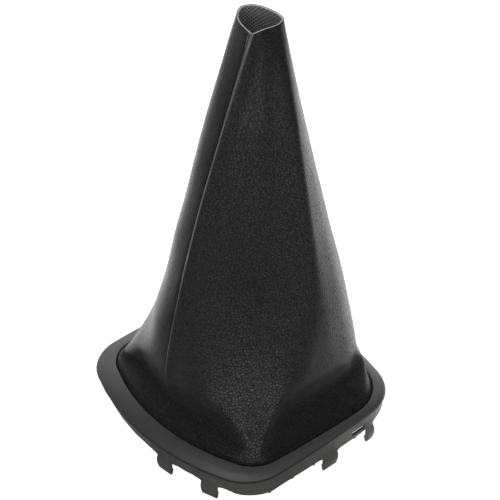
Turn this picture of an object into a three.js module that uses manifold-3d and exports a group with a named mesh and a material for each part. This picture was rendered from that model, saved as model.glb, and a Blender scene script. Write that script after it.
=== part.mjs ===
// Gear lever gaiter for a car console: a moulded trim frame, a soft grained cover that tapers up to the
// lever, and the hidden ring that clamps the cover's hem. Millimetres, +Z up. The frame's bowed side faces -Y.
import * as THREE from "three";
import { mergeVertices } from "three/addons/utils/BufferGeometryUtils.js";
import Module from "manifold-3d";

const wasm = await Module();
wasm.setup();

// Heights, measured from the tips of the snap tabs
const bezelTop = 24.5;
const coverRise = 237; // from the bezel's top to the cut edge of the neck
const skirtDepth = 14; // below the bezel's top
const skirtDips = { bowRight: 1.4, backRight: -4, backLeft: 1.4, bowLeft: -4 }; // extra depth at the corners
const dipSpread = [0.3, 0.6]; // where a dip starts and ends, in arcs away from the corner's middle

// Bezel, seen from above: four shallow arcs joined by tight corners
const outerEdge = {
  width: 148,
  depth: 143.2,
  bowRadius: 146,
  backRadius: 202,
  sideRadius: 851,
  bowCorner: 28.8,
  backCorner: 29.1,
  sideLean: 0.012, // radians that the sides are turned from straight ahead
};
const bowRim = 12.2; // bezel width on the bowed side
const sideRim = 6.85;
const backRim = 6.8;
const openingEdge = {
  width: outerEdge.width - 2 * sideRim,
  depth: outerEdge.depth - bowRim - backRim,
  bowRadius: 132,
  backRadius: 195.2,
  sideRadius: 973,
  bowCorner: 20.5,
  backCorner: 29,
  sideLean: -0.028,
  shift: (bowRim - backRim) / 2,
};
const bezelWall = 2.5;
const edgeRound = 1.9; // drop of the bezel's rounded outer edge
const lipDrop = 0.5; // how far the outer edge turns down past the bezel's underside
const smallChamfer = 0.45;

// Skirt, seen from above, and the layers stacked inside it
const sideInset = 1.65; // from the bezel's outer edge
const backInset = 1.65;
const bowInset = 4.4;
const skirtEdge = {
  width: outerEdge.width - 2 * sideInset,
  depth: outerEdge.depth - bowInset - backInset,
  bowRadius: 142,
  backRadius: outerEdge.backRadius - backInset,
  sideRadius: outerEdge.sideRadius - sideInset,
  bowCorner: 26,
  backCorner: 27.5,
  sideLean: 0,
  shift: (bowInset - backInset) / 2,
};
const skirtWall = 1.8;
const skirtDraft = 0.15;
const clothWall = 1.2;
const ringWall = 1.5;
const seatGap = 0.35; // clearance between the stacked layers
const hemDepth = 7.2; // below the bezel's top
const lipGap = 0.75; // dark crevice between the bezel and the cover
const ringLift = 0.6; // from the skirt's lower edge up to the ring's

// Snap tabs under the skirt: side, distance along it and width
const tabSwell = 1.3; // how far a tab stands out past the skirt
const tabHeel = 0.9; // small step on the inner face
const tabTip = 1.3; // thickness at the tip
const tabRoot = 4; // height that runs up inside the skirt's wall
const tabLap = 0.1; // how far a tab's inner face lies inside the skirt's
const webSpread = 5; // fillet beside each wide tab
const webDepth = 2;
const webLap = 0.2; // how far a fillet's faces lie inside the skirt's
const tabPlaces = [
  ["bow", 12.3, 9.5],
  ["bow", 43.8, 9.5],
  ["right", 6.1, 9.5],
  ["right", 38.3, 4.6],
  ["back", -12.3, 9.5],
  ["back", -43.8, 9.5],
  ["left", -6.1, 9.5],
  ["left", -38.3, 4.6],
];

// Windows in the skirt that hold the ring's catches: side and distance along it
const windowWidth = 10.6;
const windowHeight = 3.4;
const windowTop = 8; // below the bezel's top
const windowSweep = 2.5; // how far the cut for a window runs past the skirt's wall
const catchReach = 0.9; // how far a catch reaches into the skirt's wall
const windowPlaces = [
  ["right", 28.5],
  ["back", 27],
  ["back", -27],
  ["left", -28.5],
];

// Stop nubs on the skirt's lower edge
const nubWidth = 1.6;
const nubDrop = 0.9;
const nubLap = 0.2; // how far a nub's faces lie inside the skirt's
const nubPitch = 16.1;
const nubStart = -38.5;
const nubCount = 5;

// An outline has ten arcs. These four are its corners, and each arc takes so many points on the rigid pieces.
const cornerArcs = { bowRight: 1, backRight: 3, backLeft: 6, bowLeft: 8 };
const arcSteps = [4, 8, 7, 8, 4, 4, 8, 7, 8, 4];

// Cover: where each fold line stands along the frame, and its point on the neck's rim. Lines in a valley
// alternate with lines over a corner.
const foldLines = {
  seam: { at: ["bow", -6], rim: [12.4, -2.4], crisp: 1 },
  bowRight: { rim: [14.6, 5.6], crisp: 0 },
  rightFold: { at: ["right", 11.5], rim: [15.6, 15.3], crisp: 0.75 },
  backRight: { rim: [12.8, 20.6], crisp: 0 },
  backFold: { at: ["back", 2], rim: [3.5, 22.1], crisp: 0.5 },
  backLeft: { rim: [-7, 19.4], crisp: 0 },
  leftFold: { at: ["left", 8], rim: [-10.9, 13.2], crisp: 0.5 },
  bowLeft: { rim: [-5.8, 4.6], crisp: 0 },
};

// Each line's way up: first the foot, as [share drawn in towards the neck, height above the bezel], and then
// the shares at the heights of bodyLevels
const bodyLevels = [75, 125, 185];
const foldFeet = {
  seam: [[0.05, 3], [0.125, 6.5], [0.19, 11], [0.174, 17.5], [0.143, 34]],
  bowRight: [[0.006, 1.5], [0.014, 3], [0.026, 5], [0.06, 8], [0.33, 34]],
  rightFold: [[0.08, 4], [0.17, 9.5], [0.175, 20], [0.25, 32], [0.2, 46]],
  backRight: [[0.02, 5], [0.05, 12], [0.085, 22], [0.165, 29.5], [0.22, 44]],
  backFold: [[0.07, 4], [0.17, 9], [0.2, 15], [0.19, 22], [0.17, 38]],
  backLeft: [[0.01, 1.5], [0.02, 3], [0.04, 5], [0.08, 8], [0.31, 36]],
  leftFold: [[0.07, 4], [0.17, 9], [0.2, 14], [0.19, 20], [0.16, 36]],
  bowLeft: [[0.008, 1.2], [0.018, 2.4], [0.035, 4], [0.07, 7], [0.275, 34]],
};
const foldBodies = {
  seam: [0.272, 0.453, 0.744],
  bowRight: [0.54, 0.66, 0.81],
  rightFold: [0.242, 0.438, 0.7],
  backRight: [0.335, 0.565, 0.81],
  backFold: [0.25, 0.43, 0.7],
  backLeft: [0.5, 0.64, 0.83],
  leftFold: [0.26, 0.45, 0.73],
  bowLeft: [0.455, 0.615, 0.8],
};
const ridgeNarrowing = 0.4; // part of each flank that stays low beside a corner's ridge, at the foot
const columnsPerPanel = 9; // between two fold lines
const rowsPerSpan = [1, 1, 2, 2, 4, 2, 2, 2, 2];
const softRows = [3, 10]; // rows over which the fold lines turn from rounded to crisp
const crispSlope = 1.6;

// Outlines

function circlesMeet(a, ra, b, rb, towards) {
  const gap = b.clone().sub(a);
  const d = gap.length();
  const along = (ra * ra - rb * rb + d * d) / (2 * d);
  const aside = Math.sqrt(ra * ra - along * along);
  gap.normalize();
  const base = a.clone().addScaledVector(gap, along);
  const across = new THREE.Vector2(-gap.y, gap.x).multiplyScalar(aside);
  const one = base.clone().add(across);
  const two = base.clone().sub(across);
  return one.dot(towards) > two.dot(towards) ? one : two;
}

function bearing(from, to) {
  return Math.atan2(to.y - from.y, to.x - from.x);
}

// The ten arcs of a frame outline, anticlockwise from the middle of the bowed side
function arcsOf(edge) {
  const { width, depth, bowRadius, backRadius, sideRadius, bowCorner, backCorner, sideLean } = edge;
  const bow = new THREE.Vector2(0, bowRadius - depth / 2);
  const back = new THREE.Vector2(0, depth / 2 - backRadius);
  const side = new THREE.Vector2(
    width / 2 - sideRadius * Math.cos(sideLean),
    -sideRadius * Math.sin(sideLean),
  );
  const nearFront = new THREE.Vector2(1, -1);
  const nearBack = new THREE.Vector2(1, 1);
  const frontCorner = circlesMeet(bow, bowRadius - bowCorner, side, sideRadius - bowCorner, nearFront);
  const rearCorner = circlesMeet(back, backRadius - backCorner, side, sideRadius - backCorner, nearBack);
  const turns = [
    -Math.PI / 2,
    bearing(bow, frontCorner),
    bearing(side, frontCorner),
    bearing(side, rearCorner),
    bearing(back, rearCorner),
    Math.PI / 2,
  ];
  const centres = [bow, frontCorner, side, rearCorner, back];
  const radii = [bowRadius, bowCorner, sideRadius, backCorner, backRadius];
  const right = centres.map((c, i) => ({
    x: c.x,
    y: c.y + (edge.shift ?? 0),
    radius: radii[i],
    from: turns[i],
    to: turns[i + 1],
  }));
  const left = [...right].reverse().map((arc) => ({
    ...arc,
    x: -arc.x,
    from: Math.PI - arc.to,
    to: Math.PI - arc.from,
  }));
  return [...right, ...left];
}

const outerArcs = arcsOf(outerEdge);
const openingArcs = arcsOf(openingEdge);
const skirtArcs = arcsOf(skirtEdge);

// A place on an outline is the number of its arc plus the share of that arc
function pointAt(arcs, place, offset, z) {
  const wrapped = ((place % arcs.length) + arcs.length) % arcs.length;
  const arc = arcs[Math.floor(wrapped)];
  const turn = THREE.MathUtils.lerp(arc.from, arc.to, wrapped % 1);
  const reach = arc.radius + offset;
  return new THREE.Vector3(arc.x + reach * Math.cos(turn), arc.y + reach * Math.sin(turn), z);
}

const corners = Object.fromEntries(Object.entries(cornerArcs).map(([name, arc]) => [name, arc + 1 / 2]));
const sides = {
  bow: { span: [-corners.bowRight, corners.bowRight], axis: "x", way: 1 },
  right: { span: [corners.bowRight, corners.backRight], axis: "y", way: 1 },
  back: { span: [corners.backRight, corners.backLeft], axis: "x", way: -1 },
  left: { span: [corners.backLeft, corners.bowLeft], axis: "y", way: -1 },
};

// The place where a side of an outline reaches a given X or Y, by halving its span
function placeOn(arcs, side, along) {
  const { span, axis, way } = sides[side];
  let [low, high] = span;
  for (let i = 0; i < 40; i++) {
    const middle = (low + high) / 2;
    const short = way * (along - pointAt(arcs, middle, 0, 0)[axis]) > 0;
    if (short) low = middle;
    else high = middle;
  }
  return low;
}

const framePlaces = arcSteps.flatMap((steps, arc) =>
  Array.from({ length: steps }, (_, i) => arc + i / steps),
);

// Solids

// A closed skin over rings of points, where the last ring joins the first. Seen with outwards to the right,
// the rings go round clockwise.
function skinOf(rings) {
  const count = rings[0].length;
  const positions = rings.flat().flatMap((p) => [p.x, p.y, p.z]);
  const faces = [];
  rings.forEach((ring, r) => {
    const next = (r + 1) % rings.length;
    for (let c = 0; c < count; c++) {
      const d = (c + 1) % count;
      const near = r * count;
      const far = next * count;
      faces.push(near + c, far + d, near + d);
      faces.push(near + c, far + c, far + d);
    }
  });
  const geometry = new THREE.BufferGeometry();
  geometry.setAttribute("position", new THREE.Float32BufferAttribute(positions, 3));
  geometry.setIndex(faces);
  return geometry;
}

function solidOf(geometry) {
  const bare = geometry.clone();
  bare.deleteAttribute("normal");
  bare.deleteAttribute("uv");
  const merged = mergeVertices(bare, 1e-4);
  return new wasm.Manifold(
    new wasm.Mesh({
      numProp: 3,
      vertProperties: new Float32Array(merged.attributes.position.array),
      triVerts: new Uint32Array(merged.index.array),
    }),
  );
}

function geometryOf(solid) {
  const mesh = solid.getMesh();
  const geometry = new THREE.BufferGeometry();
  geometry.setAttribute("position", new THREE.Float32BufferAttribute(mesh.vertProperties, 3));
  geometry.setIndex(new THREE.Uint32BufferAttribute(mesh.triVerts, 1));
  return geometry;
}

// A point of the skirt's outer face with the directions there
function stand(place) {
  const point = pointAt(skirtArcs, place, 0, 0);
  const outward = pointAt(skirtArcs, place, 1, 0).sub(point).normalize();
  const up = new THREE.Vector3(0, 0, 1);
  const along = new THREE.Vector3().crossVectors(up, outward);
  return { point, outward, up, along };
}

// A prism whose outline is drawn as [outward, height] and which runs along the side
function profilePrism(place, outline, width) {
  const { point, outward, up, along } = stand(place);
  const shape = new THREE.Shape(outline.map(([o, z]) => new THREE.Vector2(o, z)));
  const geometry = new THREE.ExtrudeGeometry(shape, { depth: width, bevelEnabled: false });
  geometry.translate(0, 0, -width / 2);
  const turn = new THREE.Matrix4().makeBasis(outward, up, along.clone().negate());
  geometry.applyMatrix4(turn.setPosition(point));
  return solidOf(geometry);
}

// A prism whose outline is drawn as [along, height] and which runs outwards between two offsets
function facePrism(place, shape, inner, outer) {
  const { point, outward, up, along } = stand(place);
  const geometry = new THREE.ExtrudeGeometry(shape, {
    depth: outer - inner,
    bevelEnabled: false,
    curveSegments: 4,
  });
  geometry.translate(0, 0, inner);
  const turn = new THREE.Matrix4().makeBasis(along, up, outward);
  geometry.applyMatrix4(turn.setPosition(point));
  return solidOf(geometry);
}

// Trim frame

const underside = bezelTop - bezelWall;
const skirtBottom = bezelTop - skirtDepth;

// The skirt's lower edge dips or rises around each corner
function skirtBottomAt(place) {
  const dips = Object.entries(skirtDips).map(([name, dip]) => {
    const away = Math.abs(place - corners[name]);
    return dip * (1 - THREE.MathUtils.smoothstep(away, ...dipSpread));
  });
  return dips.reduce((height, dip) => height - dip, skirtBottom);
}

function bezelSkin() {
  const opening = (offset, z) => framePlaces.map((p) => pointAt(openingArcs, p, offset, z));
  const outer = (offset, z) => framePlaces.map((p) => pointAt(outerArcs, p, offset, z));
  const skirt = (offset, z) => framePlaces.map((p) => pointAt(skirtArcs, p, offset, z));
  const skirtFoot = (offset) => framePlaces.map((p) => pointAt(skirtArcs, p, offset, skirtBottomAt(p)));
  const seat = underside - lipDrop;
  const middle = framePlaces.map((p) =>
    pointAt(openingArcs, p, 0, bezelTop).lerp(pointAt(outerArcs, p, 0, bezelTop), 0.5),
  );
  return skinOf([
    opening(0, bezelTop - smallChamfer),
    opening(smallChamfer, bezelTop),
    middle,
    outer(-edgeRound * 0.75, bezelTop - edgeRound * 0.15),
    outer(-edgeRound * 0.25, bezelTop - edgeRound * 0.45),
    outer(0, bezelTop - edgeRound),
    outer(-smallChamfer, seat),
    skirt(0, seat),
    skirtFoot(-skirtDraft),
    skirtFoot(-skirtWall),
    skirt(-skirtWall, underside),
    opening(smallChamfer, underside),
    opening(0, underside + smallChamfer),
  ]);
}

// One snap tab: a swelling profile with a thin tip, and on a wide tab a fillet into the skirt on each side
function snapTab(place, width) {
  const root = skirtBottom + tabRoot;
  const inner = -skirtWall;
  const profile = [
    [inner + tabLap, root],
    [inner, skirtBottom * 0.45],
    [inner - tabHeel, skirtBottom * 0.32],
    [inner, 0],
    [inner + tabTip, 0],
    [tabSwell - 0.7, skirtBottom * 0.28],
    [tabSwell, skirtBottom * 0.6],
    [tabSwell - 0.1, skirtBottom * 0.85],
    [-skirtDraft, skirtBottom + nubDrop],
    [-skirtDraft, root],
  ];
  const blade = profilePrism(place, profile, width);
  const half = width / 2;
  if (width < webSpread) return blade;
  const web = new THREE.Shape();
  const foot = skirtBottom - webDepth;
  const turn = [half + webSpread * 0.2, skirtBottom - webDepth * 0.2];
  web.moveTo(-half - webSpread, root);
  web.lineTo(-half - webSpread, skirtBottom);
  web.quadraticCurveTo(-turn[0], turn[1], -half, foot);
  web.lineTo(half, foot);
  web.quadraticCurveTo(turn[0], turn[1], half + webSpread, skirtBottom);
  web.lineTo(half + webSpread, root);
  return blade.add(facePrism(place, web, webLap - skirtWall, -skirtDraft - webLap));
}

function plate(place, width, low, high, inner, outer) {
  const outline = [
    [inner, low],
    [outer, low],
    [outer, high],
    [inner, high],
  ];
  return profilePrism(place, outline, width);
}

function trimFrame() {
  let solid = solidOf(bezelSkin());
  for (const [side, along, width] of tabPlaces) {
    solid = solid.add(snapTab(placeOn(skirtArcs, side, along), width));
  }
  for (const side of ["right", "left"]) {
    const tabs = tabPlaces.filter((tab) => tab[0] === side);
    for (let i = 0; i < nubCount; i++) {
      const along = sides[side].way * (nubStart + i * nubPitch);
      const clear = tabs.every(([, at, width]) => Math.abs(at - along) > width / 2 + nubWidth);
      if (!clear) continue;
      const place = placeOn(skirtArcs, side, along);
      const edge = skirtBottomAt(place);
      const span = [nubLap - skirtWall, -skirtDraft - nubLap];
      solid = solid.add(plate(place, nubWidth, edge - nubDrop, edge + nubDrop, ...span));
    }
  }
  const high = bezelTop - windowTop;
  for (const [side, along] of windowPlaces) {
    const place = placeOn(skirtArcs, side, along);
    const span = [-skirtWall - windowSweep, windowSweep];
    solid = solid.subtract(plate(place, windowWidth, high - windowHeight, high, ...span));
  }
  return geometryOf(solid);
}

// Retaining ring, just inside the hem

const hemOuter = -skirtWall - seatGap; // from here on, distances are from the skirt's outer face
const ringOuter = hemOuter - clothWall - seatGap;
const ringInner = ringOuter - ringWall;
const clothCeiling = underside - seatGap; // top face of the cloth that lies under the bezel
const ringTop = clothCeiling - clothWall - seatGap;

function retainingRing() {
  const ring = (offset, z) => framePlaces.map((p) => pointAt(skirtArcs, p, offset, z));
  const foot = (offset) =>
    framePlaces.map((p) => pointAt(skirtArcs, p, offset, skirtBottomAt(p) + ringLift));
  let solid = solidOf(
    skinOf([
      foot(ringInner),
      ring(ringInner, ringTop),
      ring(ringOuter - smallChamfer, ringTop),
      ring(ringOuter, ringTop - smallChamfer),
      foot(ringOuter),
    ]),
  );
  const top = bezelTop - windowTop - seatGap;
  const bottom = bezelTop - windowTop - windowHeight + seatGap;
  const root = ringInner + ringWall / 2;
  const nose = [
    [root, bottom],
    [-skirtWall, bottom],
    [catchReach - skirtWall, top - smallChamfer],
    [catchReach - skirtWall, top],
    [root, top],
  ];
  for (const [side, along] of windowPlaces) {
    const place = placeOn(skirtArcs, side, along);
    solid = solid.add(profilePrism(place, nose, windowWidth - 2 * seatGap));
  }
  return geometryOf(solid);
}

// Cover

const lineNames = Object.keys(foldLines);

// Every column runs up from one place on the frame's opening to one point of the neck's rim
function coverColumns() {
  const places = lineNames.map((name) => {
    const { at } = foldLines[name];
    return at ? placeOn(openingArcs, ...at) : corners[name];
  });
  const rims = lineNames.map((name) => new THREE.Vector3(...foldLines[name].rim, 0));
  const count = lineNames.length;
  return lineNames.flatMap((name, i) => {
    const next = (i + 1) % count;
    const end = places[next] < places[i] ? places[next] + openingArcs.length : places[next];
    const before = i === 0 ? rims[i] : rims[i - 1];
    const after = next === 0 ? rims[next] : rims[(next + 1) % count];
    const rimSpan = new THREE.CatmullRomCurve3([before, rims[i], rims[next], after]);
    const steps = Array.from({ length: columnsPerPanel }, (_, c) => c / columnsPerPanel);
    const points = steps.map((s) => pointAt(openingArcs, places[i] + (end - places[i]) * s, 0, 0));
    const last = pointAt(openingArcs, end, 0, 0);
    const lengths = points.map((p, c) => p.distanceTo(points[c + 1] ?? last));
    const total = lengths.reduce((sum, l) => sum + l, 0);
    let run = 0;
    return steps.map((s, c) => {
      const share = run / total;
      run += lengths[c];
      const rim = spanPoint(rimSpan, share, i === 0, next === 0);
      return { place: places[i] + (end - places[i]) * s, lines: [i, next], share, rim };
    });
  });
}

// The middle span of a four-point curve, or an end span where the curve starts or stops at a sharp tip
function spanPoint(curve, share, starts, stops) {
  const [a, b, c, d] = curve.points;
  if (starts) return new THREE.CatmullRomCurve3([b, c, d]).getPoint(share / 2);
  if (stops) return new THREE.CatmullRomCurve3([a, b, c]).getPoint((1 + share) / 2);
  return new THREE.CatmullRomCurve3([a, b, c, d]).getPoint((1 + share) / 3);
}

// Share and height of every row of one fold line, by a smooth curve through its levels
function lineRows(name) {
  const levels = [
    [0, smallChamfer],
    ...foldFeet[name],
    ...foldBodies[name].map((share, i) => [share, bodyLevels[i]]),
    [1, coverRise],
  ];
  const curve = new THREE.SplineCurve(levels.map(([s, z]) => new THREE.Vector2(s, z)));
  const spans = levels.length - 1;
  const rows = rowsPerSpan.flatMap((steps, span) =>
    Array.from({ length: steps }, (_, i) => curve.getPoint((span + i / steps) / spans)),
  );
  return [...rows, curve.getPoint(1)];
}

// How far a place in a panel has come from one line to the next, when part of the way is kept for the valley
function climbed(share, fromValley, hold) {
  const climb = fromValley ? (share - hold) / (1 - hold) : share / (1 - hold);
  return THREE.MathUtils.clamp(climb, 0, 1);
}

// Between two fold lines a value leaves a crisp line at a slope and a soft line level
function across(from, to, share, crispFrom, crispTo) {
  const s2 = share * share;
  const s3 = s2 * share;
  const rise = to - from;
  const ease = 3 * s2 - 2 * s3;
  const leave = s3 - 2 * s2 + share;
  const arrive = s3 - s2;
  return from + rise * (ease + crispSlope * (crispFrom * leave + crispTo * arrive));
}

function coverGeometry() {
  const columns = coverColumns();
  const rows = lineNames.map(lineRows);
  const crisp = lineNames.map((name) => foldLines[name].crisp);
  const tuck = [
    [skirtArcs, hemOuter, bezelTop - hemDepth],
    [skirtArcs, hemOuter, clothCeiling - clothWall],
    [skirtArcs, hemOuter - clothWall * 0.3, clothCeiling - clothWall * 0.3],
    [skirtArcs, hemOuter - clothWall, clothCeiling],
    [openingArcs, smallChamfer, clothCeiling],
    [openingArcs, -lipGap * 0.75, underside],
    [openingArcs, -lipGap, underside + bezelWall / 2],
  ];
  const outside = tuck.map(([arcs, offset, z]) =>
    columns.map(({ place }) => pointAt(arcs, place, offset, z)),
  );
  rows[0].forEach((_, r) => {
    const settle = THREE.MathUtils.smoothstep(r, ...softRows);
    outside.push(
      columns.map(({ place, lines: [a, b], share, rim }) => {
        const [ca, cb] = [crisp[a] * settle, crisp[b] * settle];
        const climb = climbed(share, a % 2 === 0, ridgeNarrowing * (1 - settle));
        const drawn = across(rows[a][r].x, rows[b][r].x, climb, ca, cb);
        const height = across(rows[a][r].y, rows[b][r].y, climb, 0, 0);
        const point = pointAt(openingArcs, place, -lipGap, 0).lerp(rim, drawn);
        return point.setZ(bezelTop + height);
      }),
    );
  });
  const inside = outside.map((ring, r) => ring.map((p, c) => innerPoint(outside, r, c)));
  return skinOf([...inside, ...outside.reverse()]);
}

// A point moved one cloth thickness inwards, square to the surface around it
function innerPoint(rings, r, c) {
  const count = rings[r].length;
  const right = rings[r][(c + 1) % count];
  const left = rings[r][(c + count - 1) % count];
  const above = rings[Math.min(r + 1, rings.length - 1)][c];
  const below = rings[Math.max(r - 1, 0)][c];
  const around = right.clone().sub(left);
  const upward = above.clone().sub(below);
  const inward = upward.cross(around).normalize();
  return rings[r][c].clone().addScaledVector(inward, clothWall);
}

// Assembly

function piece(name, geometry, color, roughness) {
  const mesh = new THREE.Mesh(
    geometry,
    new THREE.MeshStandardMaterial({ color, roughness, metalness: 0 }),
  );
  mesh.name = name;
  return mesh;
}

const gaiter = new THREE.Group();
gaiter.add(piece("trim_frame", trimFrame(), 0x57585b, 0.5));
gaiter.add(piece("gaiter_cover", coverGeometry(), 0x1c1c1e, 0.75));
gaiter.add(piece("retaining_ring", retainingRing(), 0x2a2b2d, 0.6));

export default gaiter;
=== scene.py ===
import math

import bmesh
import bpy
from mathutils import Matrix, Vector, noise


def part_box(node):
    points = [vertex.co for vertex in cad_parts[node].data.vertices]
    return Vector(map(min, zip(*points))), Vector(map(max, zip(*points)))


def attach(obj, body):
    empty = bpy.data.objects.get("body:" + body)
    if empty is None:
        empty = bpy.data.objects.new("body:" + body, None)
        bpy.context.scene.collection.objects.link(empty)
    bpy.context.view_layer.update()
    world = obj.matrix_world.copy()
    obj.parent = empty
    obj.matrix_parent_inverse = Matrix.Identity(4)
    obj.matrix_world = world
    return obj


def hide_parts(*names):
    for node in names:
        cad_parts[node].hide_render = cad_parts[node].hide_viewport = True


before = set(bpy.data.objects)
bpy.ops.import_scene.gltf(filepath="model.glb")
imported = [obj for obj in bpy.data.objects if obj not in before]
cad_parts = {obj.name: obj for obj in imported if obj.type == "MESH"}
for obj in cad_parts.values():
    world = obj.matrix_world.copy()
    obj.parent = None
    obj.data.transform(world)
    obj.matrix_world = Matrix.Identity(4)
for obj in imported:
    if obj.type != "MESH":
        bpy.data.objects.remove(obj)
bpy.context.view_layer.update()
mm = 0.001
print("frame loaded:", ", ".join(sorted(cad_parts)))


# node trees


def node(tree, kind, **settings):
    made = tree.nodes.new(kind)
    for key, value in settings.items():
        if key in made.inputs:
            made.inputs[key].default_value = value
        else:
            setattr(made, key, value)
    return made


def ramp(tree, value, start, end, low, high, kind="SMOOTHSTEP"):  # start to end becomes low to high
    made = node(tree, "ShaderNodeMapRange", interpolation_type=kind)
    for key, number in zip(("From Min", "From Max", "To Min", "To Max"), (start, end, low, high)):
        made.inputs[key].default_value = number
    tree.links.new(value, made.inputs["Value"])
    return made.outputs["Result"]


def maths(tree, operation, *values, **settings):  # each value is a number or another node's socket
    made = node(tree, "ShaderNodeMath", operation=operation, **settings)
    for slot, value in zip(made.inputs, values):
        if isinstance(value, (int, float)):
            slot.default_value = value
        else:
            tree.links.new(value, slot)
    return made.outputs["Value"]


def blend(tree, share, first, second):  # each colour is three numbers or another node's socket
    made = node(tree, "ShaderNodeMix", data_type="RGBA")
    tree.links.new(share, made.inputs[0])
    for slot, colour in zip((made.inputs[6], made.inputs[7]), (first, second)):
        if isinstance(colour, tuple):
            slot.default_value = (*colour, 1)
        else:
            tree.links.new(colour, slot)
    return made.outputs[2]


def noiseAt(tree, where, **settings):
    made = node(tree, "ShaderNodeTexNoise", **settings)
    tree.links.new(where, made.inputs["Vector"])
    return made


def bumped(tree, height, strength, distance):
    made = node(tree, "ShaderNodeBump", Strength=strength, Distance=distance)
    tree.links.new(height, made.inputs["Height"])
    return made


def newLook(name):
    look = bpy.data.materials.new(name)
    look.use_nodes = True
    tree = look.node_tree
    return look, tree, tree.links.new, tree.nodes["Principled BSDF"]


# camera and studio

camera = {
    "place": (0.56086, -0.48755, 0.69364),
    "target": (0.02824, -0.01596, 0.14234),
    "lens": 122.9,  # millimetres, as the sensor's width
    "sensor": 36,
    "nearest": 0.01,
}
studio = {
    "floorHalf": 6.0,
    "floorColour": (0.6, 0.6, 0.6),
    "floorRoughness": 0.9,
    "floorSpecular": 0.1,
    "white": 1.0,  # how bright the floor and the sky look to the camera
    "glow": 1.9,  # the light that the floor behind the part throws on it
    "glowMiddle": (-0.22, 0.32, 0),
    "glowFade": (0.3, 0.46),  # how far from its middle it starts to fade, and ends
    "backdrop": 1.3,  # the bright low wall behind the part
    "backdropSide": (-0.75, 0.66, -0.1),  # the way to the wall's middle
    "backdropSpread": (0.35, 0.85),  # how nearly that way a ray goes where the wall begins, and is full
    "backdropTop": (0.5, 0.85),  # how steeply up a ray goes where the wall starts to fade, and ends
    "room": 0.004,  # the light from all other sides
    "aim": (0, 0, 0.12),  # the middle of the part
}
softboxes = {  # place, size and power
    "leftKeySoftbox": ((0.5, -1.2, 1.08), (1.0, 1.4), 4.4),
    "rightKeySoftbox": ((1.25, -0.35, 1.08), (0.9, 1.3), 3.2),
    "topSoftbox": ((0.15, -0.35, 1.35), (0.35, 0.35), 2.0),
    "frontSoftbox": ((1.1, -0.95, 0.12), (2.3, 1.0), 12.5),
    "backSoftbox": ((-0.9, 1.0, 0.35), (1.2, 0.6), 5),
}


def aim(thing, target):
    towards = Vector(target) - thing.location
    thing.rotation_euler = towards.to_track_quat("-Z", "Y").to_euler()


def addCamera():
    bpy.ops.object.camera_add(location=camera["place"])
    eye = bpy.context.object
    eye.name = "photoCamera"
    aim(eye, camera["target"])
    eye.data.lens = camera["lens"]
    eye.data.sensor_width = camera["sensor"]
    eye.data.clip_start = camera["nearest"]
    bpy.context.scene.camera = eye


def addSoftbox(name, place, size, power):
    bpy.ops.object.light_add(type="AREA", location=place)
    lamp = bpy.context.object
    lamp.name = name
    lamp.data.shape = "RECTANGLE"
    lamp.data.size, lamp.data.size_y = size
    lamp.data.energy = power
    aim(lamp, studio["aim"])


def whiteToCamera(tree, strength):  # plain white to the camera, and this strength for the light it gives
    seen = node(tree, "ShaderNodeLightPath")
    either = node(tree, "ShaderNodeMix")
    either.inputs[3].default_value = studio["white"]
    tree.links.new(seen.outputs["Is Camera Ray"], either.inputs[0])
    tree.links.new(strength, either.inputs[2])
    return either.outputs[0]


def addFloor():
    bpy.ops.mesh.primitive_plane_add(size=2 * studio["floorHalf"])
    floor = bpy.context.object
    floor.name = "studioFloor"
    paint, tree, link, shader = newLook("paleFloor")
    shader.inputs["Base Color"].default_value = (*studio["floorColour"], 1)
    shader.inputs["Roughness"].default_value = studio["floorRoughness"]
    shader.inputs["Specular IOR Level"].default_value = studio["floorSpecular"]
    shader.inputs["Emission Color"].default_value = (1, 1, 1, 1)
    where = node(tree, "ShaderNodeTexCoord")
    reach = node(tree, "ShaderNodeVectorMath", operation="DISTANCE")
    reach.inputs[1].default_value = studio["glowMiddle"]
    link(where.outputs["Object"], reach.inputs[0])
    glow = ramp(tree, reach.outputs["Value"], *studio["glowFade"], studio["glow"], 0)
    link(whiteToCamera(tree, glow), shader.inputs["Emission Strength"])
    floor.data.materials.append(paint)


def lightStudio():
    world = bpy.data.worlds.new("studioSky")
    bpy.context.scene.world = world
    world.use_nodes = True
    tree = world.node_tree
    link = tree.links.new
    sky = tree.nodes["Background"]
    sky.inputs["Color"].default_value = (1, 1, 1, 1)
    where = node(tree, "ShaderNodeTexCoord")
    towards = node(tree, "ShaderNodeVectorMath", operation="DOT_PRODUCT")
    towards.inputs[1].default_value = Vector(studio["backdropSide"]).normalized()
    link(where.outputs["Generated"], towards.inputs[0])
    axes = node(tree, "ShaderNodeSeparateXYZ")
    link(where.outputs["Generated"], axes.inputs["Vector"])
    wall = ramp(tree, towards.outputs["Value"], *studio["backdropSpread"], 0, studio["backdrop"])
    low = ramp(tree, axes.outputs["Z"], *studio["backdropTop"], 1, 0)
    light = maths(tree, "MULTIPLY_ADD", wall, low, studio["room"])
    link(whiteToCamera(tree, light), sky.inputs["Strength"])
    for name, (place, size, power) in softboxes.items():
        addSoftbox(name, place, size, power)


addCamera()
addFloor()
lightStudio()
view = bpy.context.scene.view_settings
view.view_transform = "Standard"
view.look = "None"
print("camera and studio ready")


# outlines of the frame, seen from above

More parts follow.
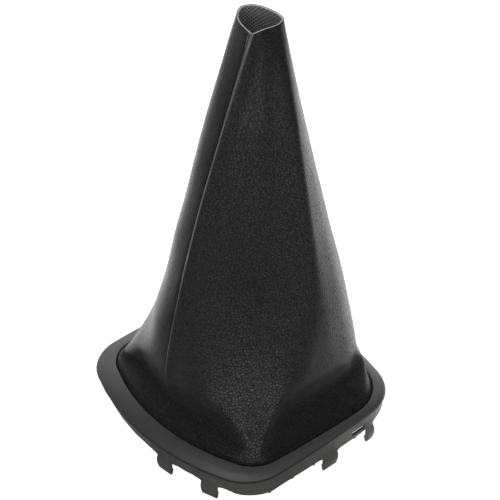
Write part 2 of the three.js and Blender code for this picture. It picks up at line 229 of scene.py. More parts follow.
rims = {"bow": 12.2 * mm, "back": 6.8 * mm}
opening = {
    "width": 134.3 * mm,
    "depth": 124.2 * mm,
    "bowRadius": 132 * mm,
    "backRadius": 195.2 * mm,
    "sideRadius": 973 * mm,
    "bowCorner": 20.5 * mm,
    "backCorner": 29 * mm,
    "sideLean": -0.028,
    "shift": (rims["bow"] - rims["back"]) / 2,
}
skirt = {
    "width": 144.7 * mm,
    "depth": 137.15 * mm,
    "bowRadius": 142 * mm,
    "backRadius": 200.35 * mm,
    "sideRadius": 849.35 * mm,
    "bowCorner": 26 * mm,
    "backCorner": 27.5 * mm,
    "sideLean": 0,
    "shift": 1.375 * mm,
}
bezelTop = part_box("trim_frame")[1].z
bezelWall = 2.5 * mm
halvings = 40  # enough to find a place along a side exactly


def circlesMeet(a, ra, b, rb, towards):
    gap = b - a
    d = gap.length
    along = (ra * ra - rb * rb + d * d) / (2 * d)
    aside = math.sqrt(ra * ra - along * along)
    gap.normalize()
    base = a + gap * along
    sideways = Vector((-gap.y, gap.x)) * aside
    return max(base + sideways, base - sideways, key=lambda p: p.dot(towards))


def bearing(start, end):
    return math.atan2(end.y - start.y, end.x - start.x)


def arcsOf(edge):  # ten arcs, anticlockwise from the middle of the bowed side
    sideRadius, lean = edge["sideRadius"], edge["sideLean"]
    bow = Vector((0, edge["bowRadius"] - edge["depth"] / 2))
    back = Vector((0, edge["depth"] / 2 - edge["backRadius"]))
    side = Vector((edge["width"] / 2 - sideRadius * math.cos(lean), -sideRadius * math.sin(lean)))
    bowCorner, backCorner = edge["bowCorner"], edge["backCorner"]
    nearBow = circlesMeet(
        bow, edge["bowRadius"] - bowCorner, side, sideRadius - bowCorner, Vector((1, -1))
    )
    nearBack = circlesMeet(
        back, edge["backRadius"] - backCorner, side, sideRadius - backCorner, Vector((1, 1))
    )
    turns = [
        -math.pi / 2,
        bearing(bow, nearBow),
        bearing(side, nearBow),
        bearing(side, nearBack),
        bearing(back, nearBack),
        math.pi / 2,
    ]
    centres = [bow, nearBow, side, nearBack, back]
    radii = [edge["bowRadius"], bowCorner, sideRadius, backCorner, edge["backRadius"]]
    right = [
        (c.x, c.y + edge["shift"], radius, turns[i], turns[i + 1])
        for i, (c, radius) in enumerate(zip(centres, radii))
    ]
    left = [(-x, y, radius, math.pi - b, math.pi - a) for x, y, radius, a, b in reversed(right)]
    return right + left


openingArcs = arcsOf(opening)
skirtArcs = arcsOf(skirt)
cornerPlaces = {"bowRight": 1.5, "backRight": 3.5, "backLeft": 6.5, "bowLeft": 8.5}
sideSpans = {
    "bow": (-1.5, 1.5, 0, 1),
    "right": (1.5, 3.5, 1, 1),
    "back": (3.5, 6.5, 0, -1),
    "left": (6.5, 8.5, 1, -1),
}


def pointAt(arcs, place, offset, z):  # a place is the number of an arc plus the share of it
    wrapped = place % len(arcs)
    x, y, radius, start, end = arcs[int(wrapped)]
    turn = start + (end - start) * (wrapped % 1)
    reach = radius + offset
    return Vector((x + reach * math.cos(turn), y + reach * math.sin(turn), z))


def placeOn(arcs, side, along):
    low, high, axis, way = sideSpans[side]
    for _ in range(halvings):
        middle = (low + high) / 2
        if way * (along - pointAt(arcs, middle, 0, 0)[axis]) > 0:
            low = middle
        else:
            high = middle
    return low


# gaiter cover

foldLines = {  # its place on the frame, its point on the neck's rim in mm, and how crisp it is
    "seam": (("bow", -6 * mm), (12.4, -2.4), 1),
    "bowRight": (None, (14.6, 5.6), 0),
    "rightFold": (("right", 11.5 * mm), (15.6, 15.3), 0.75),
    "backRight": (None, (12.8, 20.6), 0),
    "backFold": (("back", 2 * mm), (3.5, 22.1), 0.5),
    "backLeft": (None, (-7, 19.4), 0),
    "leftFold": (("left", 8 * mm), (-10.9, 13.2), 0.5),
    "bowLeft": (None, (-5.8, 4.6), 0),
}
foldFeet = {  # share drawn in towards the neck, and height above the bezel in mm
    "seam": [(0.05, 3), (0.125, 6.5), (0.19, 11), (0.174, 17.5), (0.143, 34)],
    "bowRight": [(0.012, 1.5), (0.028, 3.2), (0.055, 6), (0.105, 10.5), (0.33, 34)],
    "rightFold": [(0.12, 5.5), (0.222, 11), (0.242, 14), (0.222, 23), (0.192, 38)],
    "backRight": [(0.02, 5), (0.05, 12), (0.085, 22), (0.165, 29.5), (0.22, 44)],
    "backFold": [(0.07, 4), (0.17, 9), (0.2, 15), (0.19, 22), (0.17, 38)],
    "backLeft": [(0.01, 1.5), (0.02, 3), (0.04, 5), (0.08, 8), (0.31, 36)],
    "leftFold": [(0.07, 4), (0.17, 9), (0.2, 14), (0.19, 20), (0.16, 36)],
    "bowLeft": [(0.008, 1.2), (0.018, 2.4), (0.035, 4), (0.07, 7), (0.275, 34)],
}
paintedShade = {  # painted shade in the folds and in the gap at the frame; rows are counted up from the frame
    "gapRows": (0.5, 3),
    "startRows": (4, 12),
    "endRows": (14, 19),
    "shadeAmounts": {
        "seam": 0.95,
        "bowRight": 0,
        "rightFold": 1,
        "backRight": 0.75,
        "backFold": 0.8,
        "backLeft": 0,
        "leftFold": 0.8,
        "bowLeft": 0.8,
    },
    "concaveShade": 0.35,  # the most painted shade that a concave spot adds
    "reach": 5 * mm,  # how far around a point its hollow is measured
    "leastSteps": (0.5 * mm, 0.3 * mm),  # the shortest steps counted, up and around
    "lift": (0.05 * mm, 0.85 * mm),  # how deep a hollow is where the painted shade starts, and is full
}
foldBodies = {  # the share at each of the body's heights
    "seam": [0.272, 0.453, 0.744],
    "bowRight": [0.54, 0.66, 0.81],
    "rightFold": [0.242, 0.438, 0.7],
    "backRight": [0.335, 0.565, 0.81],
    "backFold": [0.25, 0.43, 0.7],
    "backLeft": [0.5, 0.64, 0.83],
    "leftFold": [0.26, 0.45, 0.73],
    "bowLeft": [0.455, 0.615, 0.8],
}
cover = {
    "rise": 237 * mm,  # from the bezel's top to the neck's cut edge
    "bodyHeights": (75, 125, 185),
    "cloth": 1.2 * mm,
    "lipGap": 0.75 * mm,
    "hemInset": 2.15 * mm,
    "hemDepth": 7.2 * mm,
    "seatGap": 0.35 * mm,  # between the cloth and the bezel's underside
    "edge": 0.45 * mm,  # how far the cloth reaches under the bezel, and its first row stands over it
    "ridgeNarrowing": 0.6,  # share of a panel that a ridge's flat foot takes up
    "crispSlope": 1.6,  # how steeply the cloth leaves a crisp fold
    "steepest": 2.4,  # limit of a curve's slope beside a short step, in steps
    "softRows": (6, 14),  # plain rows between which the folds turn crisp
    "plainRows": (1, 1, 2, 2, 4, 2, 2, 2, 2),  # plain rows of each span between two levels
    "fineRows": (4, 4, 5, 6, 12, 12, 13, 15, 13),  # the mesh's rows of each span
    "columns": 26,  # of each panel
    "probes": 60,  # steps in which a panel's foot is measured
    "softPasses": 4,  # how often the folds are rounded, and the creases above the frame
    "creasePasses": 5,
    "creaseRows": (40, 52),  # where the second rounding fades out
    "coatShare": 0.4,  # share of the cut edge that is the black coat
    "hemShare": 0.75,  # how far along the extra rows of the hem lie
    "hemRound": 0.3,  # of the cloth's thickness, at the hem's upper bend
    "seamColumns": 4,  # columns beside the seam that are never rounded
    "riseColumns": 8,  # every so many columns count for the height along the cloth
    "flat": (0.5, 0.27),  # the panel as it was cut: its foot's length and its height
    "flatArea": 0.0675,
}
seam = {
    "stand": 1.9 * mm,  # how far the front panel's turned edge stands out over the side panel
    "roll": 1.7 * mm,
    "relax": 9.5 * mm,  # where the turned edge has sunk back into the panel
    "groove": 0.9 * mm,
    "grooveWidth": 1.2 * mm,
    "fineSteps": (0.35, 0.7, 1.05, 1.4, 1.9, 2.6, 3.5, 4.7),  # mm beside the seam at the foot
    "fineRoom": 1.15,  # times the widest fine step, kept free of even steps
    "shineIn": (0.1 * mm, 0.5 * mm),  # the painted highlight on the turned edge's crown
    "shineOut": (1 * mm, 1.7 * mm),
}
waves = {"size": 34 * mm, "height": 0.42 * mm, "fineSize": 11 * mm, "fineHeight": 0.09 * mm}
relief = {  # how the seam and the waves grow up the sleeve, in rows above the frame
    "startRows": (2, 7),
    "growRows": (13, 24),
    "lowShare": 0.3,  # what they have of their height at first
    "shineFrom": 0.2,  # the share of it where the turned edge's painted highlight starts
    "calmRows": (11, 0),  # rows below the neck, between which the waves calm down
    "calm": 0.6,
}
lineNames = list(foldLines)
swell = {  # how far the panel left of the seam rounds out, in mm, at heights above the bezel in mm
    "heights": (35, 60, 110, 150, 190, 232),
    "out": (0, 3.2, 4.2, 3.4, 2.2, 0.6),
    "ridgeIn": 0.5,  # share of it that the corner fold gives back, so that the outline holds
    "lean": 1.15,  # over 1 moves the roundest part towards the seam
}


def smoothstep(x, low, high):
    t = min(max((x - low) / (high - low), 0), 1)
    return t * t * (3 - 2 * t)


def slope(before, here, after):  # held down beside a short step, so that the curve never turns back
    limit = cover["steepest"] * min(abs(here - before), abs(after - here))
    if before == here or (here - before) * (after - here) < 0:
        return (after - before) / 2
    return min(max((after - before) / 2, -limit), limit)


def levelCurve(levels, t):  # a smooth curve through evenly spaced levels
    last = len(levels) - 1
    i = min(int(t), last - 1)
    w = t - i
    p0, p1 = levels[max(i - 1, 0)], levels[i]
    p2, p3 = levels[i + 1], levels[min(i + 2, last)]
    values = []
    for a, b, c, d in zip(p0, p1, p2, p3):
        v0, v1 = slope(a, b, c), slope(b, c, d)
        cubic, square = 2 * b - 2 * c + v0 + v1, 3 * c - 3 * b - 2 * v0 - v1
        values.append(cubic * w**3 + square * w**2 + v0 * w + b)
    return values


def rimSpan(a, b, c, d, share):  # a centripetal curve from b to c
    steps = [max((q - p).length, 1e-9) ** 0.5 for p, q in ((a, b), (b, c), (c, d))]
    out = []
    for k in (0, 1):
        t1 = (b[k] - a[k]) / steps[0] - (c[k] - a[k]) / (steps[0] + steps[1]) + (c[k] - b[k]) / steps[1]
        t2 = (c[k] - b[k]) / steps[1] - (d[k] - b[k]) / (steps[1] + steps[2]) + (d[k] - c[k]) / steps[2]
        t1, t2 = t1 * steps[1], t2 * steps[1]
        c2 = 3 * (c[k] - b[k]) - 2 * t1 - t2
        c3 = 2 * (b[k] - c[k]) + t1 + t2
        out.append(b[k] + t1 * share + c2 * share**2 + c3 * share**3)
    return Vector(out)


def panelShares(length, fromSeam, toSeam):  # even steps, and finer ones beside the seam
    shares = [i / cover["columns"] for i in range(cover["columns"])]
    fine = [step * mm / length for step in seam["fineSteps"]]
    room = fine[-1] * seam["fineRoom"]
    if fromSeam:
        shares = [0] + fine + [s for s in shares if s > room]
    if toSeam:
        shares = [s for s in shares if s < 1 - room] + [1 - s for s in reversed(fine)]
    return shares


def coverColumns():
    places = []
    for name in lineNames:
        at = foldLines[name][0]
        places.append(placeOn(openingArcs, *at) if at else cornerPlaces[name])
    rim = [Vector(foldLines[name][1]) * mm for name in lineNames]
    count, probes = len(lineNames), cover["probes"]
    columns = []
    for i in range(count):
        j = (i + 1) % count
        end = places[j] + len(openingArcs) if places[j] < places[i] else places[j]
        b, c = rim[i], rim[j]
        a = rim[i - 1] if i else 2 * b - c
        d = rim[(j + 1) % count] if j else 2 * c - b
        span = end - places[i]
        probe = [pointAt(openingArcs, places[i] + span * k / probes, 0, 0) for k in range(probes + 1)]
        runs = [0]
        for p, q in zip(probe, probe[1:]):
            runs.append(runs[-1] + (q - p).length)
        for share in panelShares(runs[-1], i == 0, j == 0):
            want = share * runs[-1]
            k = max(n for n in range(probes) if runs[n] <= want + 1e-12)
            at = (k + (want - runs[k]) / (runs[k + 1] - runs[k])) / probes
            place, neck = places[i] + span * at, rimSpan(a, b, c, d, share)
            columns.append({"place": place, "lines": (i, j), "share": share, "rim": neck})
    return columns


def climbed(share, fromValley, hold):
    climb = (share - hold) / (1 - hold) if fromValley else share / (1 - hold)
    return min(max(climb, 0), 1)


def across(start, end, share, crispStart, crispEnd):
    s2, s3 = share**2, share**3
    ease = 3 * s2 - 2 * s3
    leave, arrive = s3 - 2 * s2 + share, s3 - s2
    return start + (end - start) * (ease + cover["crispSlope"] * (crispStart * leave + crispEnd * arrive))


def coverRings(columns):
    levels = []
    for name in lineNames:
        body = list(zip(foldBodies[name], cover["bodyHeights"]))
        levels.append([(0, cover["edge"] / mm)] + foldFeet[name] + body + [(1, cover["rise"] / mm)])
    stops = [(span, i / steps) for span, steps in enumerate(cover["fineRows"]) for i in range(steps)]
    stops.append((len(cover["fineRows"]) - 1, 1))
    rings = []
    for span, part in stops:
        row = sum(cover["plainRows"][:span]) + part * cover["plainRows"][span]
        settle = smoothstep(row, *cover["softRows"])
        values = [levelCurve(level, span + part) for level in levels]
        ring = []
        for column in columns:
            i, j = column["lines"]
            ci, cj = foldLines[lineNames[i]][2] * settle, foldLines[lineNames[j]][2] * settle
            climb = climbed(column["share"], i % 2 == 0, cover["ridgeNarrowing"] * (1 - settle))
            drawn = across(values[i][0], values[j][0], climb, ci, cj)
            height = across(values[i][1], values[j][1], climb, 0, 0) * mm
            foot = pointAt(openingArcs, column["place"], -cover["lipGap"], 0)
            flat = foot.xy.lerp(column["rim"], drawn)
            ring.append(Vector((flat.x, flat.y, bezelTop + height)))
        rings.append(ring)
    return rings


def swellAt(height):
    steps = list(zip(swell["heights"], swell["out"]))
    if height <= steps[0][0]:
        return 0
    for (low, a), (high, b) in zip(steps, steps[1:]):
        if height < high:
            return a + (b - a) * smoothstep(height, low, high)
    return steps[-1][1]


def swellPanels(rings, columns):
    last, before = len(lineNames) - 1, len(lineNames) - 2
    for r, ring in enumerate(rings):
        moved = [p.copy() for p in ring]
        for c, column in enumerate(columns):
            share = column["share"]
            amount = swellAt((ring[c].z - bezelTop) / mm) * mm
            if column["lines"][0] == last:
                push = math.sin(math.pi * share ** swell["lean"]) - swell["ridgeIn"] * (1 - share) ** 3
            elif column["lines"][0] == before:
                push = -swell["ridgeIn"] * smoothstep(share, 0, 1)
            else:
                continue
            out = facing(rings, r, c)
            moved[c] += Vector((out.x, out.y, 0)).normalized() * amount * push
        rings[r] = moved


def tuckRings(columns):  # the hem between the skirt and the ring, and the cloth under the bezel
    ceiling = bezelTop - bezelWall - cover["seatGap"]
    inset, cloth = -cover["hemInset"], cover["cloth"]
    bend = cloth * cover["hemRound"]
    stations = [
        (skirtArcs, inset, bezelTop - cover["hemDepth"]),
        (skirtArcs, inset, bezelTop - cover["hemDepth"] * cover["hemShare"]),
        (skirtArcs, inset, ceiling - cloth),
        (skirtArcs, inset - bend, ceiling - bend),
        (skirtArcs, inset - cloth, ceiling),
        (openingArcs, cover["edge"], ceiling),
        (openingArcs, -cover["lipGap"] * cover["hemShare"], ceiling + cover["seatGap"]),
        (openingArcs, -cover["lipGap"], bezelTop - bezelWall / 2),
    ]
    return [[pointAt(arcs, c["place"], offset, z) for c in columns] for arcs, offset, z in stations]


def soften(rings, passes):  # rounds the folds a little, and leaves the seam as it is
    kept = cover["seamColumns"]
    for _ in range(passes):
        for ring in rings:
            before = [p.copy() for p in ring]
            for c in range(kept, len(ring) - kept):
                ring[c] = before[c] * 0.5 + (before[c - 1] + before[c + 1]) * 0.25


def softenUp(rings, passes, fade):  # rounds the creases above the frame, up the sleeve
    for _ in range(passes):
        before = [[p.copy() for p in ring] for ring in rings]
        for r in range(1, len(rings) - 1):
            mix = 0.5 * (1 - smoothstep(r, *fade))
            for c, spot in enumerate(before[r]):
                rings[r][c] = spot.lerp((before[r - 1][c] + before[r + 1][c]) / 2, mix)


def facing(rings, r, c):
    count = len(rings[r])
    around = rings[r][(c + 1) % count] - rings[r][c - 1]
    upward = rings[min(r + 1, len(rings) - 1)][c] - rings[max(r - 1, 0)][c]
    return around.cross(upward).normalized()


def seamHeight(away):  # away is the distance from the seam, more than 0 on the front panel
    if away < 0:
        return -seam["groove"] * math.exp(away / seam["grooveWidth"])
    roll = min(away / seam["roll"], 1)
    edge = math.sqrt(1 - (1 - roll) ** 2)
    start = -seam["groove"]
    sunk = seam["stand"] * smoothstep(away, seam["roll"], seam["relax"])
    return start + (seam["stand"] - start) * edge - sunk


def seamShine(away):  # the turned edge's crown, where a painted highlight lightens the coat
    return smoothstep(away, *seam["shineIn"]) * (1 - smoothstep(away, *seam["shineOut"]))


def runsOf(ring):  # the length round the ring up to each of its points, and back to the first
    runs = [0]
    for c, spot in enumerate(ring):
        runs.append(runs[-1] + (ring[(c + 1) % len(ring)] - spot).length)
    return runs


def dress(rings, tuckCount):  # the seam's turned edge with the share of painted highlight on its crown, and the slight unevenness of real cloth
    count = len(rings[0])
    lifted = [list(ring) for ring in rings]
    shine = [[0] * count for ring in rings]
    top = len(rings) - 1
    low = relief["lowShare"]
    for r in range(tuckCount, len(rings)):
        runs = runsOf(rings[r])
        grow = low + (1 - low) * smoothstep(r - tuckCount, *relief["growRows"])
        grow *= smoothstep(r - tuckCount, *relief["startRows"])
        calm = 1 - relief["calm"] * smoothstep(r, *(top - row for row in relief["calmRows"]))
        for c, spot in enumerate(rings[r]):
            away = runs[c] if runs[c] < runs[-1] / 2 else runs[c] - runs[-1]
            wave = noise.noise(spot / waves["size"]) * waves["height"] * calm
            wave += noise.noise(spot / waves["fineSize"]) * waves["fineHeight"]
            lifted[r][c] = spot + facing(rings, r, c) * (seamHeight(away) + wave) * grow
            shine[r][c] = seamShine(away) * smoothstep(grow, relief["shineFrom"], 1)
    return lifted, shine


def valleyShade(row, column):  # painted shade along the valley above the frame, and in the gap at the frame
    gap = 1 - smoothstep(row, *paintedShade["gapRows"])
    band = smoothstep(row, *paintedShade["startRows"]) * (1 - smoothstep(row, *paintedShade["endRows"]))
    i, j = column["lines"]
    climb = climbed(column["share"], i % 2 == 0, cover["ridgeNarrowing"])
    depth = across(paintedShade["shadeAmounts"][lineNames[i]], paintedShade["shadeAmounts"][lineNames[j]], climb, 0, 0)
    return max(gap, band * depth)


def foldShadeAmounts(rings, tuckCount, columns):  # painted shade at each point, from 0 to 1, where it lies deep in a fold and along the valley above the frame
    count, reach = len(rings[0]), paintedShade["reach"]
    leastUp, leastAround = paintedShade["leastSteps"]
    shadeAmounts = [[0] * count for ring in rings]
    for r in range(tuckCount, len(rings)):
        ring = rings[r]
        up = max(1, round(reach / max((ring[0] - rings[r - 1][0]).length, leastUp)))
        for c in range(count):
            step = (ring[(c + 1) % count] - ring[c - 1]).length / 2
            side = max(1, round(reach / max(step, leastAround)))
            low, high = rings[max(r - up, tuckCount)][c], rings[min(r + up, len(rings) - 1)][c]
            left, right = ring[c - side], ring[(c + side) % count]
            lift = ((low + high + left + right) / 4 - ring[c]).dot(facing(rings, r, c))
            foldShade = paintedShade["concaveShade"] * smoothstep(lift, *paintedShade["lift"])
            shadeAmounts[r][c] = max(foldShade, valleyShade(r - tuckCount, columns[c]))
    return shadeAmounts


def knitMarks(outside):  # each point's own length round the sleeve and its way up, for the knit
    marks = []
    height, every = 0, cover["riseColumns"]
    for r, ring in enumerate(outside):
        if r:
            rises = [(ring[c] - outside[r - 1][c]).length for c in range(0, len(ring), every)]
            height += sum(rises) / len(rises)
        runs = runsOf(ring)
        marks.append([(run - runs[-1] / 2, height) for run in runs])
    return marks + [marks[-1]] + marks[::-1], height


def buildCover():
    columns = coverColumns()
    tuck = tuckRings(columns)
    body = coverRings(columns)
    swellPanels(body, columns)
    soften(body, cover["softPasses"])
    softenUp(body, cover["creasePasses"], cover["creaseRows"])
    outside, shine = dress(tuck + body, len(tuck))
    rows, count = len(outside), len(columns)
    inside = [
        [p - facing(outside, r, c) * cover["cloth"] for c, p in enumerate(ring)]
        for r, ring in enumerate(outside)
    ]
    coatTop = [a.lerp(b, cover["coatShare"]) for a, b in zip(outside[-1], inside[-1])]
    mesh = bmesh.new()
    layers = outside + [coatTop] + inside[::-1]
    verts = [[mesh.verts.new(p) for p in ring] for ring in layers]
    fabric = mesh.loops.layers.uv.new("fabric")
    marks, height = knitMarks(outside)
    total = len(layers)
    for r in range(total):
        s = (r + 1) % total
        for c in range(count):
            d = (c + 1) % count
            face = mesh.faces.new((verts[r][c], verts[r][d], verts[s][d], verts[s][c]))
            face.smooth = True
            edge = r == rows or s == 0
            face.material_index = 0 if r < rows else 2 if edge else 1  # coat, cut edge, knit
            spots = (marks[r][c], marks[r][c + 1], marks[s][c + 1], marks[s][c])
            for loop, spot in zip(face.loops, spots):
                loop[fabric].uv = spot
    bmesh.ops.recalc_face_normals(mesh, faces=mesh.faces)
    data = bpy.data.meshes.new("gaiterCover")
    mesh.to_mesh(data)
    mesh.free()
    # painted shade in the folds, and the painted highlight on the seam's turned edge, go to the leather's
    # colour
    shade = foldShadeAmounts(tuck + body, len(tuck), columns)
    for name, rowValues in (("edgeHighlight", shine), ("paintedFoldShade", shade)):
        values = data.attributes.new(name, "FLOAT", "POINT")
        for r, row in enumerate(rowValues):
            for c, value in enumerate(row):
                values.data[r * count + c].value = value
    area = sum(face.area for face in data.polygons if face.material_index == 0)
    print("gaiter cover: outside area", round(area, 4))
    sleeve = bpy.data.objects.new("gaiterCover", data)
    bpy.context.scene.collection.objects.link(sleeve)
    print("gaiter cover:", rows, "rows,", count, "columns, flat height", round(height, 4))
    return sleeve


# finishes

pebble = {  # the grain of the cover's coat
    "perMetre": 640.0,
    "unevenness": 0.55,
    "scatter": 0.85,
    "crease": 0.2,  # share of a pebble that its edge takes up
    "warpScale": 260.0,
    "warp": 0.0009,
    "rollScale": 190.0,
    "bump": (1.0, 0.0007),  # strength and depth
}
coatLook = {
    "tones": ((0.0068, 0.0065, 0.0066), (0.0108, 0.0103, 0.0105)),
    "patchScale": 38.0,
    "foldShadeColour": (0.0016, 0.0015, 0.0016),  # painted shade in the folds and in the grain's creases
    "creaseShade": 0.55,
    "edgeHighlightColour": (0.26, 0.25, 0.26),  # painted highlight on the seam's turned edge
    "roughness": (0.45, 0.58),
    "foldRoughness": 0.38,
    "gloss": (0.6, 0.1),  # on a pebble and in a crease
}
knitLook = {
    "loopsPerMetre": 600,
    "turn": math.radians(38),
    "scatter": 0.12,
    "hole": (0.2, 0.5),
    "tones": ((0.05, 0.05, 0.052), (0.4, 0.4, 0.405)),
    "bump": (0.6, 0.0003),
}
cutLook = {
    "fibreScale": 1600.0,
    # the fibres' own light grey, painted lighter still as a highlight along the cut edge
    "tones": ((0.72, 0.72, 0.72), (0.92, 0.92, 0.92)),
    "bump": (0.5, 0.0002),
}
plasticLook = {
    "cloudScale": 60.0,
    "gritScale": 2600.0,
    "unevenness": (-0.05, 0.07),  # what the clouds take off the roughness and add to it
    "bump": (0.35, 0.00006),
}
ringLook = {"tones": ((0.13, 0.13, 0.13), (0.16, 0.16, 0.16)), "roughness": 0.55}
bezelLook = {
    "tones": ((0.082, 0.080, 0.083), (0.102, 0.099, 0.103)),
    "roughness": 0.36,
    "side": (bezelTop - 1.9 * mm, bezelTop - 0.3 * mm),  # heights between which painted shade darkens the bezel's side
    "under": (bezelTop - 3.9 * mm, bezelTop - 3.1 * mm),  # heights between which that painted shade ends
    # painted shade under the bezel's edge: its strength and colour
    "shade": 0.94,
    "shadeColour": (0.006, 0.006, 0.006),
    "skirt": (bezelTop - 4.2 * mm, bezelTop - 3.4 * mm),  # heights between which the skirt's tone ends
    "skirtColour": (0.088, 0.091, 0.082),
    "fall": 0.3,  # how much its face seems to fall towards the outer edge
}


def newGroup(name, inputs, outputs):
    group = bpy.data.node_groups.new(name, "ShaderNodeTree")
    for way, sockets in (("INPUT", inputs), ("OUTPUT", outputs)):
        for socket, kind in sockets:
            group.interface.new_socket(socket, in_out=way, socket_type=kind)
    return group, group.nodes.new("NodeGroupInput"), group.nodes.new("NodeGroupOutput")


def pebbleGroup():  # small rounded pebbles with creases between them
    number = "NodeSocketFloat"
    group, take, give = newGroup(
        "pebbleGrain",
        [("Vector", "NodeSocketVector"), ("Pebbles per metre", number), ("Unevenness", number)],
        [("Height", number), ("Crease", number)],
    )
    link = group.links.new
    where = take.outputs["Vector"]
    warp = noiseAt(group, where, Scale=pebble["warpScale"], Detail=2.0)
    shift = node(group, "ShaderNodeVectorMath", operation="MULTIPLY_ADD")
    shift.inputs[1].default_value = (pebble["warp"],) * 3
    link(warp.outputs["Color"], shift.inputs[0])
    link(where, shift.inputs[2])
    cells = node(
        group, "ShaderNodeTexVoronoi", feature="DISTANCE_TO_EDGE", Randomness=pebble["scatter"]
    )
    link(shift.outputs["Vector"], cells.inputs["Vector"])
    link(take.outputs["Pebbles per metre"], cells.inputs["Scale"])
    dome = ramp(group, cells.outputs["Distance"], 0, pebble["crease"], 0, 1)
    roll = noiseAt(group, where, Scale=pebble["rollScale"], Detail=3.0)
    height = maths(group, "MULTIPLY_ADD", roll.outputs["Fac"], take.outputs["Unevenness"], dome)
    link(height, give.inputs["Height"])
    link(maths(group, "SUBTRACT", 1.0, dome), give.inputs["Crease"])
    return group


def leather(pebbles):
    look, tree, link, shader = newLook("grainedLeatherette")
    shader.inputs["Specular IOR Level"].default_value = 0.4
    shader.inputs["Sheen Weight"].default_value = 0.08
    shader.inputs["Sheen Roughness"].default_value = 0.3
    shader.inputs["Coat Roughness"].default_value = 0.32
    shader.inputs["Sheen Tint"].default_value = (1, 0.99, 1, 1)
    where = node(tree, "ShaderNodeTexCoord").outputs["Object"]
    grain = node(tree, "ShaderNodeGroup", node_tree=pebbles)
    grain.inputs["Pebbles per metre"].default_value = pebble["perMetre"]
    grain.inputs["Unevenness"].default_value = pebble["unevenness"]
    link(where, grain.inputs["Vector"])
    crease = grain.outputs["Crease"]
    patch = noiseAt(tree, where, Scale=coatLook["patchScale"], Detail=3.0, Roughness=0.55).outputs["Fac"]
    foldShade = node(tree, "ShaderNodeAttribute", attribute_name="paintedFoldShade").outputs["Fac"]
    turned = node(tree, "ShaderNodeAttribute", attribute_name="edgeHighlight").outputs["Fac"]
    # painted shade darkens the coat in the folds and the grain's creases; a painted highlight lightens
    # the seam's turned edge
    depth = maths(tree, "MULTIPLY_ADD", crease, coatLook["creaseShade"], foldShade, use_clamp=True)
    tone = blend(tree, depth, blend(tree, patch, *coatLook["tones"]), coatLook["foldShadeColour"])
    link(blend(tree, turned, tone, coatLook["edgeHighlightColour"]), shader.inputs["Base Color"])
    rough = ramp(tree, patch, 0, 1, *coatLook["roughness"], "LINEAR")
    rough = maths(tree, "MULTIPLY_ADD", foldShade, coatLook["foldRoughness"], rough)
    link(rough, shader.inputs["Roughness"])
    gloss = node(tree, "ShaderNodeMix", data_type="FLOAT")  # none in the folds
    link(foldShade, gloss.inputs[0])
    link(ramp(tree, crease, 0, 1, *coatLook["gloss"], "LINEAR"), gloss.inputs[2])
    link(gloss.outputs[0], shader.inputs["Coat Weight"])
    bump = bumped(tree, grain.outputs["Height"], *pebble["bump"])
    link(bump.outputs["Normal"], shader.inputs["Normal"])
    return look


def knit():
    look, tree, link, shader = newLook("greyKnit")
    shader.inputs["Roughness"].default_value = 0.95
    shader.inputs["Specular IOR Level"].default_value = 0.15
    shader.inputs["Sheen Weight"].default_value = 0.3
    where = node(tree, "ShaderNodeUVMap", uv_map="fabric")
    turned = node(tree, "ShaderNodeMapping")
    turned.inputs["Rotation"].default_value = (0, 0, knitLook["turn"])
    turned.inputs["Scale"].default_value = (knitLook["loopsPerMetre"],) * 3
    link(where.outputs["UV"], turned.inputs["Vector"])
    loops = node(tree, "ShaderNodeTexVoronoi", feature="F1", Randomness=knitLook["scatter"], Scale=1.0)
    link(turned.outputs["Vector"], loops.inputs["Vector"])
    hole = ramp(tree, loops.outputs["Distance"], *knitLook["hole"], 0, 1)
    link(blend(tree, hole, *knitLook["tones"]), shader.inputs["Base Color"])
    bump = bumped(tree, hole, *knitLook["bump"])
    link(bump.outputs["Normal"], shader.inputs["Normal"])
    return look


def cutEdge():
    look, tree, link, shader = newLook("cutKnitEdge")
    shader.inputs["Roughness"].default_value = 0.9
    where = node(tree, "ShaderNodeTexCoord").outputs["Object"]
    fibres = noiseAt(tree, where, Scale=cutLook["fibreScale"], Detail=4.0).outputs["Fac"]
    # light grey fibres with a painted highlight, so that the cut edge looks lit
    link(blend(tree, fibres, *cutLook["tones"]), shader.inputs["Base Color"])
    bump = bumped(tree, fibres, *cutLook["bump"])
    link(bump.outputs["Normal"], shader.inputs["Normal"])
    return look


def edgeShadeAndSkirtTone(tree, where, tone, finish):  # painted shade under the bezel's edge, and the skirt's own tone
    axes = node(tree, "ShaderNodeSeparateXYZ")
    tree.links.new(where, axes.inputs["Vector"])
    height = axes.outputs["Z"]
    shade = ramp(tree, height, *finish["side"], finish["shade"], 0)
    shade = maths(tree, "MULTIPLY", shade, ramp(tree, height, *finish["under"], 0, 1))
    edgeShaded = blend(tree, shade, tone, finish["shadeColour"])
    below = ramp(tree, height, *finish["skirt"], 1, 0)
    return blend(tree, below, edgeShaded, finish["skirtColour"])


def outwardFall(tree, where, fall):  # tilts the face slightly towards its outer edge
    level = node(tree, "ShaderNodeVectorMath", operation="MULTIPLY")
    level.inputs[1].default_value = (1, 1, 0)
    away = node(tree, "ShaderNodeVectorMath", operation="LENGTH")
    tree.links.new(where, level.inputs[0])
    tree.links.new(level.outputs["Vector"], away.inputs[0])
    sunk = maths(tree, "MULTIPLY", away.outputs["Value"], -fall)
    return bumped(tree, sunk, 1.0, 1.0).outputs["Normal"]


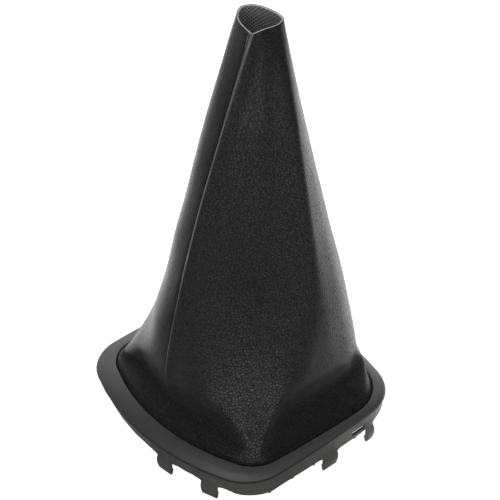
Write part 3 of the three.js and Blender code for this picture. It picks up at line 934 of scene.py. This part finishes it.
def mouldedPlastic(name, finish):
    look, tree, link, shader = newLook(name)
    shader.inputs["Specular IOR Level"].default_value = 0.5
    where = node(tree, "ShaderNodeTexCoord").outputs["Object"]
    cloud = noiseAt(tree, where, Scale=plasticLook["cloudScale"], Detail=4.0).outputs["Fac"]
    grit = noiseAt(tree, where, Scale=plasticLook["gritScale"], Detail=2.0).outputs["Fac"]
    tone = blend(tree, cloud, *finish["tones"])
    bump = bumped(tree, grit, *plasticLook["bump"])
    if "skirt" in finish:
        # painted shade under the bezel's edge, and the skirt's own tone
        tone = edgeShadeAndSkirtTone(tree, where, tone, finish)
        link(outwardFall(tree, where, finish["fall"]), bump.inputs["Normal"])
    link(tone, shader.inputs["Base Color"])
    roughness = [finish["roughness"] + change for change in plasticLook["unevenness"]]
    link(ramp(tree, cloud, 0, 1, *roughness, "LINEAR"), shader.inputs["Roughness"])
    link(bump.outputs["Normal"], shader.inputs["Normal"])
    return look


leatherette = leather(pebbleGroup())
bezelPlastic = mouldedPlastic("satinBezelPlastic", bezelLook)
ringPlastic = mouldedPlastic("plainRingPlastic", ringLook)
print("finishes ready")

sleeve = buildCover()
for finish in (leatherette, knit(), cutEdge()):
    sleeve.data.materials.append(finish)
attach(sleeve, "root")
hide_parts("gaiter_cover")


# trim frame

trim = {
    "merge": 0.01 * mm,
    "flatAngle": math.radians(0.5),  # faces that turn less are joined
    "edgeRound": 0.35 * mm,
    "edgeAngle": math.radians(32),
    "smoothAngle": math.radians(38),
}


def buildTrimFrame():
    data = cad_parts["trim_frame"].data.copy()
    data.materials.clear()
    bezel = bpy.data.objects.new("trimFrame", data)
    bpy.context.scene.collection.objects.link(bezel)
    bpy.ops.object.select_all(action="DESELECT")
    bezel.select_set(True)
    bpy.context.view_layer.objects.active = bezel
    bpy.ops.object.mode_set(mode="EDIT")
    bpy.ops.mesh.select_all(action="SELECT")
    bpy.ops.mesh.remove_doubles(threshold=trim["merge"])
    bpy.ops.mesh.dissolve_limited(angle_limit=trim["flatAngle"])
    bpy.ops.object.mode_set(mode="OBJECT")
    soft = bezel.modifiers.new("softEdges", "BEVEL")
    soft.width = trim["edgeRound"]
    soft.segments = 2
    soft.limit_method = "ANGLE"
    soft.angle_limit = trim["edgeAngle"]
    soft.use_clamp_overlap = True
    bpy.ops.object.modifier_apply(modifier=soft.name)
    bpy.ops.object.shade_smooth_by_angle(angle=trim["smoothAngle"])
    bezel.data.materials.append(bezelPlastic)
    print("trim frame:", len(bezel.data.polygons), "faces")
    return bezel


bezel = buildTrimFrame()
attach(bezel, "root")
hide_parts("trim_frame")

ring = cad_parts["retaining_ring"]
ring.data.materials.clear()
ring.data.materials.append(ringPlastic)
